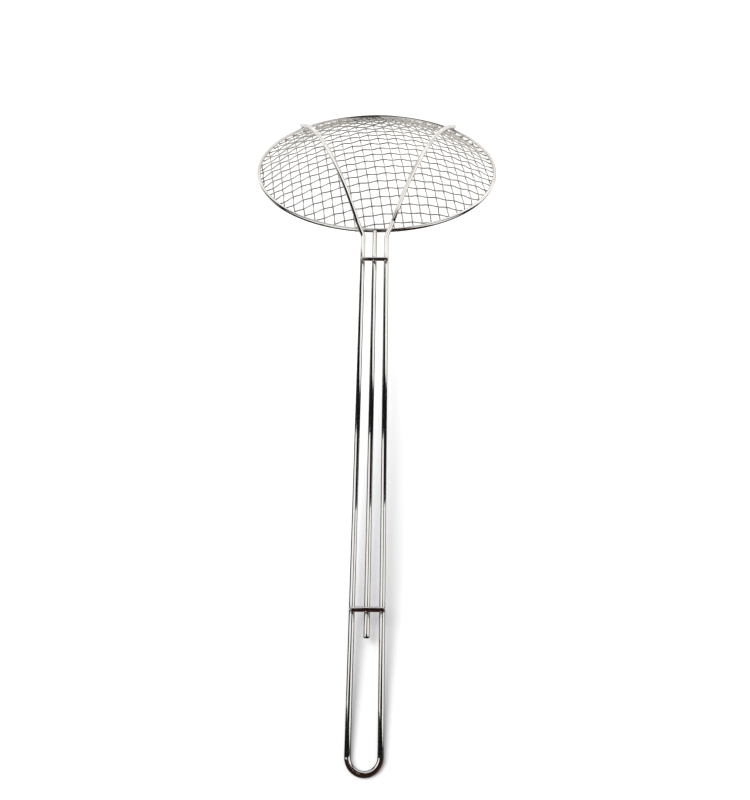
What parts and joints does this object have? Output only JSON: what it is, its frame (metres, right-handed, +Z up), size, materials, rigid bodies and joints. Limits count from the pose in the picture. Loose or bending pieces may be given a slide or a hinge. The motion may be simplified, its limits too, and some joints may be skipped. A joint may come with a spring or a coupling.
{
  "type": "wire mesh skimmer basket",
  "caption": "Round domed wire mesh skimmer basket with a rim hoop and a long wire loop handle, lying dome up.",
  "frame": {"origin": "on the ground under the middle of the part's outline, as the part lies dome up", "axes": "+X to the right across the handle, +Y from the handle's loop towards the bowl, +Z up"},
  "size_m": [0.2032, 0.595, 0.0484],
  "materials": {
    "bright_nickel": "bright nickel plate on steel rod",
    "nickel_mesh": "bright nickel plate on woven steel wire"
  },
  "bodies": {
    "root": {"handle_wire": "bright_nickel", "centre_rod": "bright_nickel", "upper_crossbar": "bright_nickel", "lower_crossbar": "bright_nickel", "rim_hoop": "bright_nickel", "warp_wire_01": "nickel_mesh", "warp_wire_02": "nickel_mesh", "warp_wire_03": "nickel_mesh", "warp_wire_04": "nickel_mesh", "warp_wire_05": "nickel_mesh", "warp_wire_06": "nickel_mesh", "warp_wire_07": "nickel_mesh", "warp_wire_08": "nickel_mesh", "warp_wire_09": "nickel_mesh", "warp_wire_10": "nickel_mesh", "warp_wire_11": "nickel_mesh", "warp_wire_12": "nickel_mesh", "warp_wire_13": "nickel_mesh", "warp_wire_14": "nickel_mesh", "warp_wire_15": "nickel_mesh", "warp_wire_16": "nickel_mesh", "warp_wire_17": "nickel_mesh", "warp_wire_18": "nickel_mesh", "warp_wire_19": "nickel_mesh", "warp_wire_20": "nickel_mesh", "warp_wire_21": "nickel_mesh", "warp_wire_22": "nickel_mesh", "warp_wire_23": "nickel_mesh", "warp_wire_24": "nickel_mesh", "warp_wire_25": "nickel_mesh", "warp_wire_26": "nickel_mesh", "weft_wire_01": "nickel_mesh", "weft_wire_02": "nickel_mesh", "weft_wire_03": "nickel_mesh", "weft_wire_04": "nickel_mesh", "weft_wire_05": "nickel_mesh", "weft_wire_06": "nickel_mesh", "weft_wire_07": "nickel_mesh", "weft_wire_08": "nickel_mesh", "weft_wire_09": "nickel_mesh", "weft_wire_10": "nickel_mesh", "weft_wire_11": "nickel_mesh", "weft_wire_12": "nickel_mesh", "weft_wire_13": "nickel_mesh", "weft_wire_14": "nickel_mesh", "weft_wire_15": "nickel_mesh", "weft_wire_16": "nickel_mesh", "weft_wire_17": "nickel_mesh", "weft_wire_18": "nickel_mesh", "weft_wire_19": "nickel_mesh", "weft_wire_20": "nickel_mesh", "weft_wire_21": "nickel_mesh", "weft_wire_22": "nickel_mesh", "weft_wire_23": "nickel_mesh", "weft_wire_24": "nickel_mesh", "weft_wire_25": "nickel_mesh", "weft_wire_26": "nickel_mesh"}
  },
  "joints": []
}
